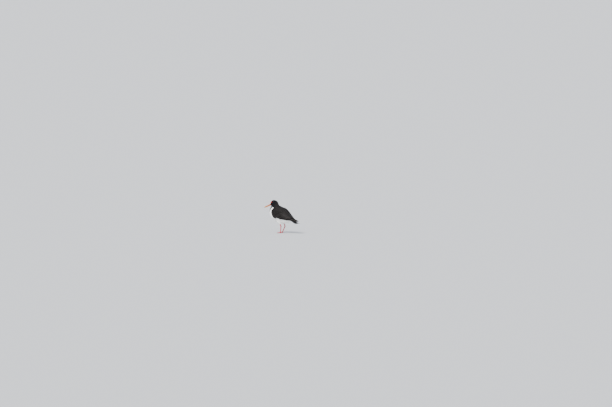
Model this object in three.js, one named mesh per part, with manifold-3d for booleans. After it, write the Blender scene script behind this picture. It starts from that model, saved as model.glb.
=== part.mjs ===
// A standing Eurasian oystercatcher at life size, as a still museum model.
// Millimetres, +Z up. The bird faces -Y and its left side is +X. Side-view points are written as
// [forward, up], measured from the floor under the feet, and turned into the frame by at().

import * as THREE from "three";
import { mergeVertices } from "three/addons/utils/BufferGeometryUtils.js";
import Module from "manifold-3d";

const wasm = await Module();
wasm.setup();

// Driving sizes.
const GAP = 0.3; // clearance between neighbouring pieces
const BILL_LENGTH = 77;
const BILL_DROP = 20; // degrees that the bill points below the horizon
const EYE_RADIUS = 5.2;
const EYE_SUNK = 3.1; // depth of the eye's centre under the head's surface
const EYE_PLACE = [84, 244.5];
const WING_PADDING = 1.2; // how far the wing's core lies under the feathers' surface
const TAIL_FEATHER = 84; // length of a tail feather
const TARSUS_RADIUS = 2.9;
const SCUTE_RELIEF = 0.35; // how far the front edge of a leg plate stands out

const matt = (color, roughness) => new THREE.MeshStandardMaterial({ color, roughness, metalness: 0 });
const plumageBlack = matt(0x1b1b1f, 0.7);
const plumagePied = matt(0xe9e7e2, 0.8);
const wingBlack = matt(0x2b2929, 0.65);
const billOrange = matt(0xf07a12, 0.45);
const eyeRed = matt(0xc01010, 0.1);
const ringOrange = matt(0xe8431a, 0.5);
const legPink = matt(0xf0787a, 0.55);
const clawBlack = matt(0x2a2523, 0.4);

const at = ([forward, up], side = 0) => new THREE.Vector3(side, -forward, up);
const degrees = THREE.MathUtils.degToRad;
const mix = THREE.MathUtils.lerp;
const between2 = ([f0, u0], [f1, u1], share) => [mix(f0, f1, share), mix(u0, u1, share)];

// Solids and booleans.

function solidOf(geometry) {
  const bare = new THREE.BufferGeometry();
  bare.setAttribute("position", geometry.getAttribute("position"));
  bare.setIndex(geometry.index);
  const merged = mergeVertices(bare, 1e-4);
  const triVerts = new Uint32Array(merged.index.array);
  const build = () => {
    const vertProperties = new Float32Array(merged.attributes.position.array);
    return new wasm.Manifold(new wasm.Mesh({ numProp: 3, vertProperties, triVerts }));
  };
  const solid = build();
  if (solid.volume() > 0) return solid;
  for (let i = 0; i < triVerts.length; i += 3) {
    [triVerts[i + 1], triVerts[i + 2]] = [triVerts[i + 2], triVerts[i + 1]];
  }
  return build();
}

// A closed mesh from rings of equal length, each end shut by a fan round its middle.
function tube(rings) {
  const sides = rings[0].length;
  const points = rings.flat();
  const middle = (ring) => ring.reduce((sum, p) => sum.add(p), new THREE.Vector3()).divideScalar(sides);
  points.push(middle(rings[0]), middle(rings.at(-1)));
  const last = (rings.length - 1) * sides;
  const index = [];
  for (let s = 0; s < sides; s++) {
    const next = (s + 1) % sides;
    for (let row = 0; row < last; row += sides) {
      index.push(row + s, row + next, row + sides + next);
      index.push(row + s, row + sides + next, row + sides + s);
    }
    index.push(points.length - 2, next, s);
    index.push(points.length - 1, last + s, last + next);
  }
  return solidOf(new THREE.BufferGeometry().setFromPoints(points).setIndex(index));
}

const joined = (solids) => solids.reduce((whole, piece) => whole.add(piece));

const largest = (solid) => solid.decompose().reduce((a, b) => (a.volume() > b.volume() ? a : b));

function meshOf(name, solid, material) {
  const { numVert, numProp, vertProperties, triVerts } = largest(solid).getMesh();
  const position = new Float32Array(numVert * 3);
  for (let v = 0; v < numVert; v++) {
    position.set(vertProperties.subarray(v * numProp, v * numProp + 3), v * 3);
  }
  const geometry = new THREE.BufferGeometry();
  geometry.setAttribute("position", new THREE.BufferAttribute(position, 3));
  geometry.setIndex(new THREE.BufferAttribute(triVerts, 1));
  geometry.computeVertexNormals();
  const mesh = new THREE.Mesh(geometry, material);
  mesh.name = name;
  return mesh;
}

// A box that reaches far past the bird, turned so that its end face passes through a side-view
// point. The box lies behind that face, which looks along the given side-view direction.
const FAR = 900;
function halfSpace(point, [forward, up]) {
  const box = new THREE.BoxGeometry(FAR, FAR, FAR).translate(0, -FAR / 2, 0);
  box.rotateX(Math.atan2(up, -forward));
  const p = at(point);
  return solidOf(box.translate(p.x, p.y, p.z));
}
const floor = halfSpace([0, 0], [0, 1]);

// A prism with a side-view outline, from one side to another.
function sidePrism(outline, from, to) {
  const shape = new THREE.Shape(outline.map(([forward, up]) => new THREE.Vector2(up, forward)));
  const prism = new THREE.ExtrudeGeometry(shape, { depth: to - from, bevelEnabled: false });
  const axes = new THREE.Matrix4().set(0, 0, 1, from, 0, -1, 0, 0, 1, 0, 0, 0, 0, 0, 0, 1);
  return solidOf(prism.applyMatrix4(axes));
}

// An oval loft between an upper and a lower side-view line. Each station is
// [upper point, lower point, half width], and the three are splined along the loft.
class OvalLoft {
  constructor(stations, grown = 0) {
    this.grown = grown;
    this.upper = new THREE.CatmullRomCurve3(stations.map(([top]) => at(top)));
    this.lower = new THREE.CatmullRomCurve3(stations.map(([, bottom]) => at(bottom)));
    this.width = new THREE.CatmullRomCurve3(stations.map(([, , half], i) => new THREE.Vector3(i, half, 0)));
  }

  // The point at t along the loft and at an angle round it, 0 on the upper line and 90 on the left.
  point(t, angle) {
    const top = this.upper.getPoint(t);
    const bottom = this.lower.getPoint(t);
    const half = this.width.getPoint(t).y + this.grown;
    const up = top.clone().sub(bottom);
    const reach = up.length() / 2 + this.grown;
    const centre = top.add(bottom).multiplyScalar(0.5);
    centre.addScaledVector(up.normalize(), reach * Math.cos(degrees(angle)));
    centre.x += half * Math.sin(degrees(angle));
    return centre;
  }

  // Rates of change of the point per unit of t and per degree.
  slopes(t, angle) {
    const step = 0.004;
    const [from, to] = [Math.max(t - step, 0), Math.min(t + step, 1)];
    const along = this.point(to, angle).sub(this.point(from, angle)).divideScalar(to - from);
    const round = this.point(t, angle + 1).sub(this.point(t, angle - 1)).divideScalar(2);
    return [along, round];
  }

  normal(t, angle) {
    const [along, round] = this.slopes(t, angle);
    const across = this.point(t, angle).sub(this.point(t, angle + 180));
    const square = round.cross(along).normalize();
    return square.dot(across) < 0 ? square.negate() : square;
  }

  // The place on the left side, as [t, angle], that the side view shows at a [forward, up] point.
  find(place) {
    const p = at(place);
    const beyond = (t) => {
      const bottom = this.lower.getPoint(t);
      const line = this.upper.getPoint(t).sub(bottom);
      const off = p.clone().sub(bottom);
      return line.y * off.z - line.z * off.y;
    };
    let [low, high] = [0, 1];
    const rising = beyond(1) > beyond(0);
    for (let i = 0; i < 40; i++) {
      const t = (low + high) / 2;
      if (beyond(t) > 0 === rising) high = t;
      else low = t;
    }
    const bottom = this.lower.getPoint(low);
    const line = this.upper.getPoint(low).sub(bottom);
    const share = p.sub(bottom).dot(line) / line.lengthSq();
    return [low, THREE.MathUtils.radToDeg(Math.acos(THREE.MathUtils.clamp(2 * share - 1, -1, 1)))];
  }

  solid(steps, sides) {
    const rings = [];
    for (let i = 0; i <= steps; i++) {
      const ring = [];
      for (let s = 0; s < sides; s++) ring.push(this.point(i / steps, (360 * s) / sides));
      rings.push(ring);
    }
    return tube(rings);
  }
}

// Body: one oval loft from the rump to the bill's root, parted by thin cuts.
const BODY = [
  [[-116, 113], [-114, 104], 9],
  [[-98, 132], [-97, 94], 24],
  [[-72, 160], [-74, 82], 38],
  [[-42, 185], [-42, 76], 47],
  [[-14, 199], [-4, 77], 50],
  [[6, 210], [38, 85], 49],
  [[21, 219.5], [76, 106], 45.5],
  [[29, 227], [101, 134], 41],
  [[33, 235], [111, 161], 35.5],
  [[35, 242.5], [107, 185], 30],
  [[39, 249.5], [97.5, 201], 27],
  [[51, 257.5], [93.5, 209], 24.5],
  [[68, 262.3], [94, 212], 22.5],
  [[87, 260], [96.5, 214], 20],
  [[98.5, 249.5], [98.5, 216], 14],
  [[105.3, 233.9], [99.8, 218.7], 7],
];
const BODY_STEPS = 31;
const BODY_SIDES = 22;
const body = new OvalLoft(BODY);
const bodySolid = body.solid(BODY_STEPS, BODY_SIDES);
const bodyGrown = new OvalLoft(BODY, GAP).solid(BODY_STEPS, BODY_SIDES);

// A cut is a point and the direction in which the bird's head lies.
const RUMP_CUT = { place: [-104, 108], facing: [1, 0.35] };
const BREAST_CUT = { place: [68, 183], facing: [0.45, 0.9] };
const THROAT_CUT = { place: [70, 222], facing: [0.62, 0.8] };
const ahead = (solid, { place, facing }) => solid.subtract(halfSpace(place, facing));

function behind(solid, { place, facing }) {
  const length = Math.hypot(...facing);
  const back = place.map((value, i) => value - (facing[i] * GAP) / length);
  return solid.intersect(halfSpace(back, facing));
}

// Bill: one tapering blade, cut along the gape into its two halves.
const BILL = [
  // share of the length, height above the gape, depth below it, half width
  [0, 7.4, 6.6, 4.9],
  [0.2, 6.1, 5.9, 4.2],
  [0.42, 5.3, 5.6, 3.5],
  [0.62, 4.9, 5.4, 2.8],
  [0.82, 4.3, 4.6, 2.1],
  [0.95, 3.3, 3.5, 1.5],
  [1, 2, 2.2, 0.9],
];
const BILL_ROOT = [102.5, 226];
const NOSTRIL = { along: 14, above: 2.6, side: 4.3, half: [0.9, 6.5, 0.8] };
const billAxis = [Math.cos(degrees(BILL_DROP)), -Math.sin(degrees(BILL_DROP))];
const billUp = [-billAxis[1], billAxis[0]];
const billDown = [billAxis[1], -billAxis[0]];
const alongBill = (distance, height) => [
  BILL_ROOT[0] + billAxis[0] * distance + billUp[0] * height,
  BILL_ROOT[1] + billAxis[1] * distance + billUp[1] * height,
];

function billHalves() {
  const stations = BILL.map(([share, above, below, half]) => {
    const distance = GAP + share * BILL_LENGTH;
    return [alongBill(distance, above), alongBill(distance, -below), half];
  });
  const slot = new THREE.SphereGeometry(1, 10, 6).scale(...NOSTRIL.half).rotateX(degrees(BILL_DROP));
  let blade = new OvalLoft(stations).solid(15, 14);
  for (const side of [1, -1]) {
    const place = at(alongBill(NOSTRIL.along, NOSTRIL.above), side * NOSTRIL.side);
    blade = blade.subtract(solidOf(slot.clone().translate(place.x, place.y, place.z)));
  }
  const upper = blade.intersect(halfSpace(alongBill(0, GAP / 2), billDown));
  const lower = blade.intersect(halfSpace(alongBill(0, -GAP / 2), billUp));
  return [upper, lower];
}

// Eyes: a ball sunk in the head and the naked ring round it, each in a seat cut with clearance.
const EYE_RING = [
  // radius, height over the head, and how much of the clearance each takes in the seat
  [3, -1.6, 0, -1],
  [6, -1.6, 1, -1],
  [6.4, -0.1, 1, 0],
  [5.7, 0.9, 0.5, 1],
  [4.7, 1.1, 0, 1],
  [3, 0.9, 0, 1],
  [3, -1.6, 0, -1],
];

function eyePieces(side) {
  const [t, angle] = body.find(EYE_PLACE);
  const surface = body.point(t, angle);
  const outward = body.normal(t, angle);
  surface.x *= side;
  outward.x *= side;
  const sunk = surface.clone().addScaledVector(outward, -EYE_SUNK);
  const turn = new THREE.Quaternion().setFromUnitVectors(new THREE.Vector3(0, 1, 0), outward);
  const ball = (radius) => solidOf(new THREE.SphereGeometry(radius, 12, 8).translate(sunk.x, sunk.y, sunk.z));
  const ring = (grow) => {
    const corner = ([r, h, wider, taller]) => new THREE.Vector2(r + wider * grow, h + taller * grow);
    const profile = EYE_RING.map(corner);
    const lathe = new THREE.LatheGeometry(profile, 15).applyQuaternion(turn);
    return solidOf(lathe.translate(surface.x, surface.y, surface.z));
  };
  const hollow = ball(EYE_RADIUS + GAP);
  return { ball: ball(EYE_RADIUS), ring: ring(0).subtract(hollow), seat: ring(GAP).add(hollow) };
}

// Feathers: a vane is a thin bent plate with a raised shaft and a rounded end. Both of its faces are
// split into triangles alike, so its thickness holds where it bends.
const VANE = [
  // share of the length, share of the width, thickness
  [0, 0.5, 0.9],
  [0.5, 1, 0.75],
  [0.89, 0.8, 0.6],
  [1, 0.34, 0.5],
];
const SHAFT_RIDGE = 0.25;

// The vane's own form is given by place(share of length, distance across, height).
function vane(place, { width, sunk, raised, tilt = 0, grown = 0 }) {
  const faces = [[], []];
  for (const [share, wide, thick] of VANE) {
    for (const across of [-1, 0, 1]) {
      const height = mix(sunk, raised, share ** 0.6) + tilt * across + (across ? 0 : SHAFT_RIDGE);
      const aside = across * ((wide * width) / 2 + grown);
      faces[0].push(place(share, aside, height + thick / 2 + grown));
      faces[1].push(place(share, aside, height - thick / 2 - grown));
    }
  }
  const under = faces[0].length;
  const index = [];
  const quad = (a, b, c, d) => index.push(a, b, c, a, c, d);
  for (let row = 0; row < VANE.length - 1; row++) {
    for (let column = 0; column < 2; column++) {
      const a = row * 3 + column;
      quad(a, a + 1, a + 4, a + 3);
      index.push(under + a, under + a + 4, under + a + 1, under + a, under + a + 3, under + a + 4);
    }
    const left = row * 3;
    const right = left + 2;
    quad(left, left + 3, under + left + 3, under + left);
    quad(right, under + right, under + right + 3, right + 3);
  }
  for (let column = 0; column < 2; column++) {
    const end = (VANE.length - 1) * 3 + column;
    quad(column, under + column, under + column + 1, column + 1);
    quad(end, end + 1, under + end + 1, under + end);
  }
  return solidOf(new THREE.BufferGeometry().setFromPoints(faces.flat()).setIndex(index));
}

// A repeatable small difference between one feather and the next, from -1 to 1.
const wobble = (seed) => 2 * ((Math.sin(seed * 12.9898) * 43758.5453) % 1 + 1) % 2 - 1;

// A vane that follows the left or right side of a loft, from a root to a tip given as [t, angle].
function vaneOn(loft, side, [fromT, fromAngle], [toT, toAngle], form) {
  const place = (share, across, height) => {
    const t = mix(fromT, toT, share);
    const angle = mix(fromAngle, toAngle, share);
    const [along, round] = loft.slopes(t, angle);
    const spine = along.clone().multiplyScalar(toT - fromT).addScaledVector(round, toAngle - fromAngle);
    const sideways = loft.normal(t, angle).cross(spine).normalize();
    if (sideways.dot(round) < 0) sideways.negate();
    const [aa, ab, bb] = [along.lengthSq(), along.dot(round), round.lengthSq()];
    const [wa, wb] = [along.dot(sideways) * across, round.dot(sideways) * across];
    const area = aa * bb - ab * ab;
    const t2 = THREE.MathUtils.clamp(t + (wa * bb - wb * ab) / area, 0, 1);
    const angle2 = angle + (wb * aa - wa * ab) / area;
    const p = loft.point(t2, angle2).addScaledVector(loft.normal(t2, angle2), height);
    p.x *= side;
    return p;
  };
  return vane(place, form);
}

// Wings: both folded wings lie on one cloak over the back. Each has a core, hollowed by the body,
// that carries its feathers in rows from the shoulder to the tip.
const CLOAK = [
  [[56, 230], [104, 140], 42],
  [[26, 223], [76, 97], 51.5],
  [[-4, 213], [30, 77], 56],
  [[-40, 199], [-18, 70], 55.5],
  [[-76, 168], [-62, 74], 48],
  [[-106, 138], [-99, 84], 35],
  [[-131, 122], [-128, 92], 24],
  [[-158, 113], [-157, 92], 16],
  [[-184, 106], [-184, 90], 10],
  [[-204, 101], [-204, 88], 7],
];
const cloak = new OvalLoft(CLOAK);
const CORE_OUTLINE = [
  [40, 216],
  [55, 190],
  [59, 170],
  [53, 149],
  [36, 132],
  [8, 122],
  [-40, 116],
  [-88, 113],
  [-104, 118],
  [-104, 134],
  [-92, 158],
  [-40, 212],
  [0, 236],
];
// The side-view place of a point of the cloak at an angle round it, by how far forward its top lies.
function over(forward, angle) {
  let [low, high] = [0, 1];
  for (let i = 0; i < 30; i++) {
    const t = (low + high) / 2;
    if (cloak.upper.getPoint(t).y < -forward) low = t;
    else high = t;
  }
  const p = cloak.point(low, angle);
  return [-p.y, p.z];
}
const MANTLE_HALF = 17; // half width of the bare back between the wings at the shoulders
const MANTLE_END = -18; // how far back it narrows to nothing
const MANTLE_FRONT = 60;
const MANTLE_FLOOR = 140; // height over which the back is bare
const CORE_STEPS = 19;
const CORE_SIDES = 18;
const TILT = 1; // how far a feather's lower edge lies above its middle

const ROWS = [
  // Each row gives its first and last feather; heights are over the cloak at the root and the tip.
  {
    name: "primaries", count: 5, width: 15, tilt: 0, heights: [[-3, -1], [-3.4, -5.5]],
    roots: [[-56, 116], [-72, 111]], tips: [[-134, 116], [-181, 101]],
  },
  {
    name: "secondaries", count: 3, width: 15, tilt: 0.4, heights: [[-3, -0.3], [-3, -2]],
    roots: [[12, 134], [-40, 122]], tips: [[-48, 113], [-104, 108]],
  },
  {
    name: "tertials", count: 4, width: 22, tilt: TILT, heights: [[-3, 0.6], [-3, 0.2]],
    roots: [over(-34, 16), [-8, 142]], tips: [over(-128, 16), [-88, 113]],
  },
  {
    name: "greater coverts", count: 5, width: 19, tilt: TILT, heights: [[-3, 0.6], [-3, 0.6]],
    roots: [[44, 140], [-10, 165]], tips: [[8, 119], [-62, 142]],
  },
  {
    name: "median coverts", count: 5, width: 18, tilt: TILT, heights: [[-3, 1], [-3, 1]],
    roots: [[54, 152], [5, 182]], tips: [[31, 129], [-24, 164]],
  },
  {
    name: "lesser coverts", count: 4, width: 18, tilt: TILT, heights: [[-2.6, 1.1], [-2.6, 1.1]],
    roots: [[58, 166], [20, 192]], tips: [[44, 143], [-2, 179]],
  },
  {
    name: "lower scapulars", count: 4, width: 21, tilt: TILT, heights: [[-3, 1.2], [-3, 1]],
    roots: [[38, 194], [-30, 183]], tips: [[9, 177], [-88, 146]],
  },
  {
    name: "upper scapulars", count: 4, width: 23, tilt: TILT, heights: [[-2.6, 1.3], [-2.6, 1]],
    roots: [[38, 209], over(-30, 18)], tips: [[11, 197], over(-88, 16)],
  },
];

function wing(side, tailGrown) {
  const [near, far] = side > 0 ? [GAP, 2 * FAR] : [-2 * FAR, -GAP];
  const wedge = new THREE.Shape([
    new THREE.Vector2(0, -MANTLE_END),
    new THREE.Vector2(MANTLE_HALF, -MANTLE_FRONT),
    new THREE.Vector2(-MANTLE_HALF, -MANTLE_FRONT),
  ]);
  const mantle = new THREE.ExtrudeGeometry(wedge, { depth: FAR, bevelEnabled: false });
  const core = new OvalLoft(CLOAK, -WING_PADDING)
    .solid(CORE_STEPS, CORE_SIDES)
    .intersect(sidePrism(CORE_OUTLINE, near, far))
    .subtract(solidOf(mantle.translate(0, 0, MANTLE_FLOOR)));
  const feathers = [core];
  for (const { count, width, tilt, heights, roots, tips } of ROWS) {
    for (let i = 0; i < count; i++) {
      const share = i / (count - 1);
      const seed = feathers.length + side * 0.37;
      const shared = ([first, last]) => between2(cloak.find(first), cloak.find(last), share);
      const [root, tip] = [shared(roots), shared(tips)];
      const [sunk, raised] = [0, 1].map((end) => mix(heights[0][end], heights[1][end], share));
      tip[0] += 0.004 * wobble(seed);
      tip[1] += 1.2 * wobble(seed + 0.5);
      const form = { width: width * (1 + 0.05 * wobble(seed + 0.2)), sunk, raised, tilt };
      feathers.push(vaneOn(cloak, side, root, tip, form));
    }
  }
  const room = new THREE.BoxGeometry(FAR, FAR, FAR).translate(side * (GAP + FAR / 2), 0, 0);
  return joined(feathers).intersect(solidOf(room)).subtract(bodyGrown).subtract(tailGrown);
}

// Tail: a short core of coverts that carries a fan of feathers, the middle pair on top.
const TAIL = [
  [[-100, 126], [-98, 92], 17],
  [[-108, 121], [-108, 96], 18],
  [[-120, 113.5], [-120, 97.5], 17],
  [[-134, 107], [-134, 97.5], 15],
  [[-144, 102.5], [-144, 97], 9],
];
const TAIL_FAN = { pairs: 6, root: [-106, 113], drop: 21.5, spacing: 2.1, spread: 1.85, layer: 1, width: 16 };
const TAIL_CAMBER = 1 / 260; // drop at the square of the distance from the middle
const TAIL_ROUNDING = 0.2; // shortening at the square of the pair's number
const RUMP_FACE = [-104.3, 108];

function tailSolid(grown) {
  const { pairs, root, drop, spacing, spread, layer, width } = TAIL_FAN;
  const core = new OvalLoft(TAIL, grown).solid(8, 16);
  const feathers = [core];
  for (let pair = 0; pair < pairs; pair++) {
    for (const side of [1, -1]) {
      const heading = degrees(side * spread * (pair + 0.5));
      const length = TAIL_FEATHER - pair * pair * TAIL_ROUNDING;
      const depth = -layer * (pair + (side > 0 ? 0 : 0.5));
      const place = (share, across, height) => {
        const along = share * length;
        const [lie, rise] = [Math.cos(degrees(drop)), Math.sin(degrees(drop))];
        const x = side * spacing * (pair + 0.5) + Math.sin(heading) * along + Math.cos(heading) * across;
        const back = Math.cos(heading) * along - Math.sin(heading) * across;
        const lift = height + depth - (x * x) * TAIL_CAMBER;
        return at([root[0] - back * lie - lift * rise, root[1] - back * rise + lift * lie], x);
      };
      feathers.push(vane(place, { width, sunk: 0, raised: 0, grown }));
    }
  }
  return joined(feathers).intersect(halfSpace(RUMP_FACE, RUMP_CUT.facing));
}

// Legs: feathered thigh, then bare shin, heel joint and tarsus in one, then three toes with claws.
const LEGS = {
  left: { side: 1, knee: [4, 102], shin: [-8, 70], heel: [-17, 55], foot: [-13, 4.2], spread: 20.5, toes: 4 },
  right: { side: -1, knee: [-4, 102], shin: [-20, 70], heel: [-25, 53], foot: [3, 4.2], spread: 20, toes: 2 },
};
const THIGH_RADII = [22, 13.5, 5.6];
const SHIN_RADII = [3.3, 3.9, TARSUS_RADIUS, 3.9];
const FOOT_RADIUS = 4.3;
const TOES = [
  { name: "inner", turn: -34, length: 24 },
  { name: "middle", turn: 0, length: 30 },
  { name: "outer", turn: 34, length: 26 },
];
const TOE_RADII = [3.1, 2.7, 2.5, 1.9];
const CLAW_RADII = [1.5, 1.1, 0.3];

// Where a plated limb has its rings, as shares of its length, and how far each stands out.
function plateSteps(plates) {
  const steps = [[0, 0]];
  for (let i = 0; i < plates; i++) {
    if (i) steps.push([(i + 0.04) / plates, 0]);
    steps.push([(i + 0.92) / plates, SCUTE_RELIEF]);
  }
  return [...steps, [1, 0]];
}

// A round limb along a path, with a radius for each of its points. Plates stand out on the side that
// looks the front way, each highest at its lower edge.
function limb(path, radii, { steps = 8, sides = 10, grown = 0, plates = 0, front = [1, 0] }) {
  const line = new THREE.CatmullRomCurve3(path);
  const sizes = new THREE.CatmullRomCurve3(radii.map((r, i) => new THREE.Vector3(i, r, 0)));
  const stations = plates ? plateSteps(plates) : Array.from({ length: steps + 1 }, (_, i) => [i / steps, 0]);
  const rings = stations.map(([share, relief]) => {
    const centre = line.getPointAt(share);
    const along = line.getTangentAt(share);
    const ahead = at(front).addScaledVector(along, -at(front).dot(along)).normalize();
    const across = along.clone().cross(ahead);
    const radius = sizes.getPoint(line.getUtoTmapping(share)).y + grown;
    const ring = [];
    for (let s = 0; s < sides; s++) {
      const angle = (2 * Math.PI * (s + 0.5)) / sides;
      const reach = radius + relief * Math.max(0, Math.cos(angle) + 0.3);
      const p = centre.clone().addScaledVector(ahead, reach * Math.cos(angle));
      ring.push(p.addScaledVector(across, reach * Math.sin(angle)));
    }
    return ring;
  });
  return tube(rings);
}

function leg(which) {
  const { side, knee, shin, heel, foot, spread, toes: splay } = LEGS[which];
  const x = side * spread;
  const hem = halfSpace([0, shin[1]], [0, 1]);
  const below = halfSpace([0, shin[1] - GAP], [0, 1]);
  const thighPath = [at(knee, x), at(between2(knee, shin, 0.55), x), at([shin[0], shin[1] - 3], x)];
  const thigh = limb(thighPath, THIGH_RADII, { steps: 9, sides: 16 }).subtract(bodyGrown).subtract(hem);
  const shinPlaces = [[shin[0] + 1, shin[1] + 4], heel, between2(heel, foot, 0.5), foot];
  const shinPath = shinPlaces.map((place) => at(place, x));
  const ball = (radius) => solidOf(new THREE.SphereGeometry(radius, 12, 8).translate(x, -foot[0], foot[1]));
  const [sole, soleGrown] = [ball(FOOT_RADIUS), ball(FOOT_RADIUS + GAP)];
  const room = GAP + SCUTE_RELIEF * 1.4;
  const shank = limb(shinPath, SHIN_RADII, { plates: 8, sides: 8 });
  const shankGrown = limb(shinPath, SHIN_RADII, { steps: 10, sides: 8, grown: room });
  const lower = shank.add(sole).intersect(below).subtract(floor);
  const pieces = { thigh, lower };
  const bodies = TOES.map(({ turn, length }) => {
    const heading = degrees((turn + splay) * side);
    const step = (d, up) => at([foot[0] + Math.cos(heading) * d, up], x + Math.sin(heading) * d);
    const path = [step(1, 3.4), step(length * 0.35, 2.6), step(length * 0.7, 2.2), step(length, 1.9)];
    const claw = [step(length + GAP, 2.1), step(length + 3, 1.9), step(length + 6, 0.7)];
    return {
      toe: limb(path, TOE_RADII, { plates: 4, sides: 8, front: [0, 1] }),
      toeGrown: limb(path, TOE_RADII, { steps: 6, sides: 8, grown: room, front: [0, 1] }),
      claw: limb(claw, CLAW_RADII, { steps: 3, sides: 7, front: [0, 1] }),
    };
  });
  const taken = shankGrown.add(soleGrown).add(floor);
  TOES.forEach(({ name }, i) => {
    const toe = bodies[i].toe.subtract(taken);
    pieces[name] = name === "middle" ? toe : toe.subtract(bodies[1].toeGrown);
    pieces[name + "Claw"] = bodies[i].claw.subtract(floor);
  });
  return pieces;
}

// The whole bird.
const bird = new THREE.Group();
const add = (name, solid, material) => bird.add(meshOf(name, solid, material));
const eyes = { left: eyePieces(1), right: eyePieces(-1) };
add("head", ahead(bodySolid, THROAT_CUT).subtract(eyes.left.seat).subtract(eyes.right.seat), plumageBlack);
add("neck", ahead(behind(bodySolid, THROAT_CUT), BREAST_CUT), plumageBlack);
add("torso", ahead(behind(bodySolid, BREAST_CUT), RUMP_CUT), plumagePied);
const [upperBill, lowerBill] = billHalves();
add("upper_bill", upperBill, billOrange);
add("lower_bill", lowerBill, billOrange);
add("tail", tailSolid(0), wingBlack);
for (const [which, side] of Object.entries({ left: 1, right: -1 })) {
  add(`${which}_eye`, eyes[which].ball, eyeRed);
  add(`${which}_eye_ring`, eyes[which].ring, ringOrange);
  add(`${which}_wing`, wing(side, tailSolid(GAP)), wingBlack);
  const pieces = leg(which);
  add(`${which}_thigh`, pieces.thigh, plumagePied);
  add(`${which}_leg`, pieces.lower, legPink);
  for (const { name } of TOES) {
    add(`${which}_${name}_toe`, pieces[name], legPink);
    add(`${which}_${name}_claw`, pieces[name + "Claw"], clawBlack);
  }
}

// The origin lies on the floor, under the middle of the bird's box.
const reach = new THREE.Box3().setFromObject(bird);
bird.position.set(-(reach.min.x + reach.max.x) / 2, -(reach.min.y + reach.max.y) / 2, -reach.min.z);

const part = new THREE.Group();
part.add(bird);
export default part;
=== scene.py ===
"""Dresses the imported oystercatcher: one skin, its coat of feathers, bill, eyes, legs and a studio."""

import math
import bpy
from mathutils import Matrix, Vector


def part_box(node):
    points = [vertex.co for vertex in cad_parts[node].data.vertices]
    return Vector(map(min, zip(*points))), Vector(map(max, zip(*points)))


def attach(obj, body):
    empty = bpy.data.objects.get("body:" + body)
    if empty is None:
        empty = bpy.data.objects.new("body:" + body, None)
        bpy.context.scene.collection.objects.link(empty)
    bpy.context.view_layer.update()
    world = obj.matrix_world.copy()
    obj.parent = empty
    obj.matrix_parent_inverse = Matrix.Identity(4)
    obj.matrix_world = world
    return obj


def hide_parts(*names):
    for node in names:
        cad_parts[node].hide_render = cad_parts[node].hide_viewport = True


bl_info = {
    "name": "Oystercatcher model",
    "version": (1, 0, 0),
    "blender": (4, 5, 0),
    "location": "View3D > Sidebar > Oystercatcher",
    "description": "Builds a life-size standing oystercatcher over its packed frame",
    "category": "Object",
}

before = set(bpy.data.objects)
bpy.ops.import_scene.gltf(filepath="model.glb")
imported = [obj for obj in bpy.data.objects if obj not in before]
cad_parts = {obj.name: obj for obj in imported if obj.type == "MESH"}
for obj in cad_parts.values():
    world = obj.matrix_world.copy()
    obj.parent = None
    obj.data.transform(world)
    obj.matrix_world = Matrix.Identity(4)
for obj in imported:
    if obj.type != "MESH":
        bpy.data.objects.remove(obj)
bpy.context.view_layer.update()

import bmesh
import bpy
import numpy as np
from bpy.props import FloatProperty, FloatVectorProperty, IntProperty, PointerProperty
from mathutils import Matrix, Vector
from mathutils.bvhtree import BVHTree

MM = 0.001  # metres in a millimetre, the unit of most values here
SHIFT_Y = -4.25  # millimetres that the place forward 0 lies from the frame's origin
FLESH = ("head", "neck", "torso", "left_thigh", "right_thigh")
TOES = ("inner", "middle", "outer")
SIDES = {"left": 1, "right": -1}

# The line through the middle of the bird from the tail's tip to the bill's root, as [forward, up].
AXIS = np.array(
    [
        (-186, 86),
        (-144, 100),
        (-104, 110),
        (-42, 122),
        (10, 142),
        (50, 166),
        (66, 192),
        (70, 215),
        (77, 236),
        (103, 226),
    ],
    float,
)

AXIS_BLEND = 11.0  # how far a bend of that line spreads

BILL_ROOT = (102.5, 226)
BILL_LENGTH = 72
BILL_DROP = 20  # degrees under the horizon
BILL_SUNK = 2.5  # how far the horn reaches under the face's feathers
BILL_SWELL = 0.28  # how far the horn stands out over the solids, which shuts the gape

# Stations of the cloak that the folded wings lie on: upper point, lower point and half width.
CLOAK = [
    ((56, 230), (104, 140), 42),
    ((26, 223), (76, 97), 51.5),
    ((-4, 213), (30, 77), 56),
    ((-40, 199), (-18, 70), 55.5),
    ((-76, 168), (-62, 74), 48),
    ((-106, 138), (-99, 84), 35),
    ((-131, 122), (-128, 92), 24),
    ((-158, 113), (-157, 92), 16),
    ((-184, 106), (-184, 90), 10),
    ((-204, 101), (-204, 88), 7),
]
BED_DEPTH = 1.0  # how far the skin lies under the cloak's surface

# The core of the tail, as stations like the cloak's.
TAIL_CORE = [
    ((-92, 130), (-92, 96), 17),
    ((-100, 126), (-98, 94), 17),
    ((-108, 120), (-108, 97), 17),
    ((-120, 112.5), (-120, 98.5), 16),
    ((-134, 106), (-134, 98), 14),
    ((-144, 102), (-144, 97.5), 8),
]

# Height of the border between black breast and white belly, by forward.
BREAST_BORDER = ([30, 46, 58, 68, 75, 81, 87, 95, 112], [199, 201, 199, 195, 188, 177, 167, 159, 157])

# The folded wing's edges in side view: its lower edge by forward, and its front edge by height.
WING_LOWER = ([-104, -40, 8, 36, 53], [112, 115, 121, 131, 148])
WING_FRONT = ([118, 122, 132, 149, 170, 190, 216], [-20, 8, 36, 53, 59, 55, 40])


# Places and shapes


def at(forward, up, side=0.0):
    """A place in the frame, in metres, from millimetres forward, up and to the left."""
    return Vector((side, SHIFT_Y - forward, up)) * MM


def side_view(points):
    """Forward, up and side in millimetres for an array of places in metres."""
    points = np.asarray(points) / MM
    return SHIFT_Y - points[..., 1], points[..., 2], points[..., 0]


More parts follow.
